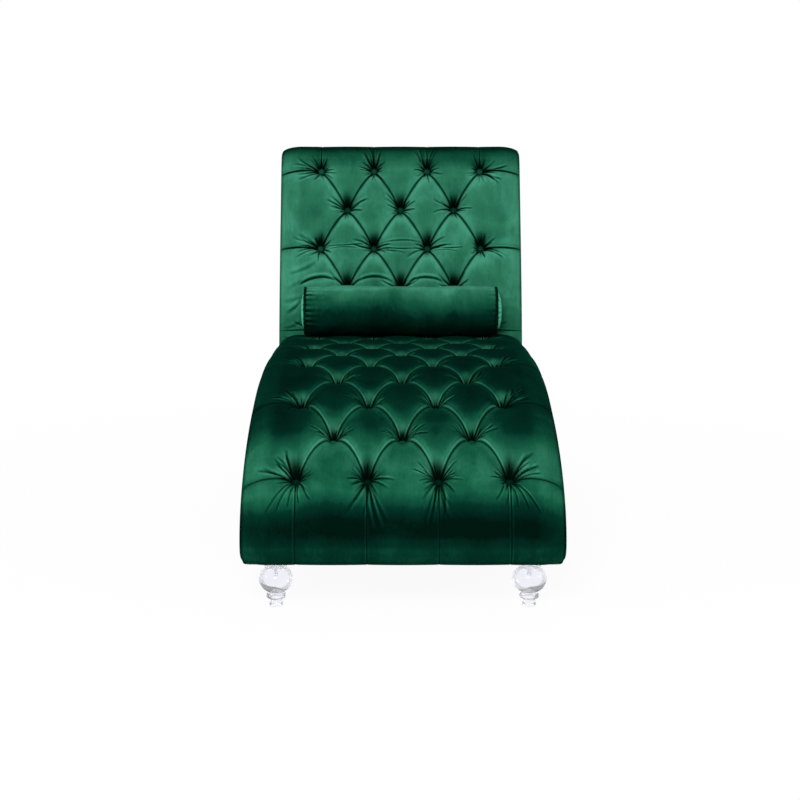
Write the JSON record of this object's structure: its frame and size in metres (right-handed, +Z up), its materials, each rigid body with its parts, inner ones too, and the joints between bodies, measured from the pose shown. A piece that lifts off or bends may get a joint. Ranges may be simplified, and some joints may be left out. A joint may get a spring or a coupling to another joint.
{
  "type": "fainting couch",
  "caption": "Armless fainting couch with a button-tufted velvet seat and leaning back in one S-shaped sweep, a loose bolster and clear turned feet.",
  "frame": {"origin": "on the floor, under the middle of the couch's own box", "axes": "+Z up, -Y towards the foot end, +Y towards the leaning back, +X to the right when seen from the foot end"},
  "size_m": [0.64, 1.48, 0.87],
  "materials": {
    "velvet": "short-pile velvet, deep green",
    "velvet_pillow": "short-pile velvet on the bolster, deep green",
    "acrylic": "clear, polished",
    "plywood": "bare sanded plywood",
    "hardwood": "bare planed wood",
    "hardboard": "bare bent hardboard",
    "foam": "open-cell foam",
    "fibre": "loose polyester fibre",
    "zinc": "zinc-plated",
    "spring_steel": "oiled spring steel",
    "dust_cloth": "black non-woven cloth"
  },
  "bodies": {
    "couch": {"leg_front_left": "acrylic", "leg_front_right": "acrylic", "leg_rear_left": "acrylic", "leg_rear_right": "acrylic", "leg_bolts": "zinc", "t_nuts": "zinc", "corner_block_front_left": "hardwood", "corner_block_front_right": "hardwood", "corner_block_rear_left": "hardwood", "corner_block_rear_right": "hardwood", "side_frame_left": "plywood", "side_frame_right": "plywood", "front_rail": "hardwood", "middle_rail": "hardwood", "crease_rail": "hardwood", "rear_rail": "hardwood", "back_rail": "hardwood", "head_rail": "hardwood", "frame_screws": "zinc", "nose_board": "hardboard", "seat_springs": "spring_steel", "back_springs": "spring_steel", "spring_clips": "zinc", "seat_foam": "foam", "back_foam": "foam", "seat_cover": "velvet", "back_cover": "velvet", "seat_buttons": "velvet", "back_buttons": "velvet", "side_cover_left": "velvet", "side_cover_right": "velvet", "outside_back_cover": "velvet", "dust_cover": "dust_cloth"},
    "bolster": {"bolster_filling": "fibre", "bolster_cover": "velvet_pillow", "bolster_end_left": "velvet_pillow", "bolster_end_right": "velvet_pillow", "bolster_piping_left": "velvet_pillow", "bolster_piping_right": "velvet_pillow"}
  },
  "joints": [
    {"name": "bolster_lift", "type": "slide", "parent": "couch", "child": "bolster", "axis": [0, 0, 1], "range_m": [0, 0.5]}
  ]
}
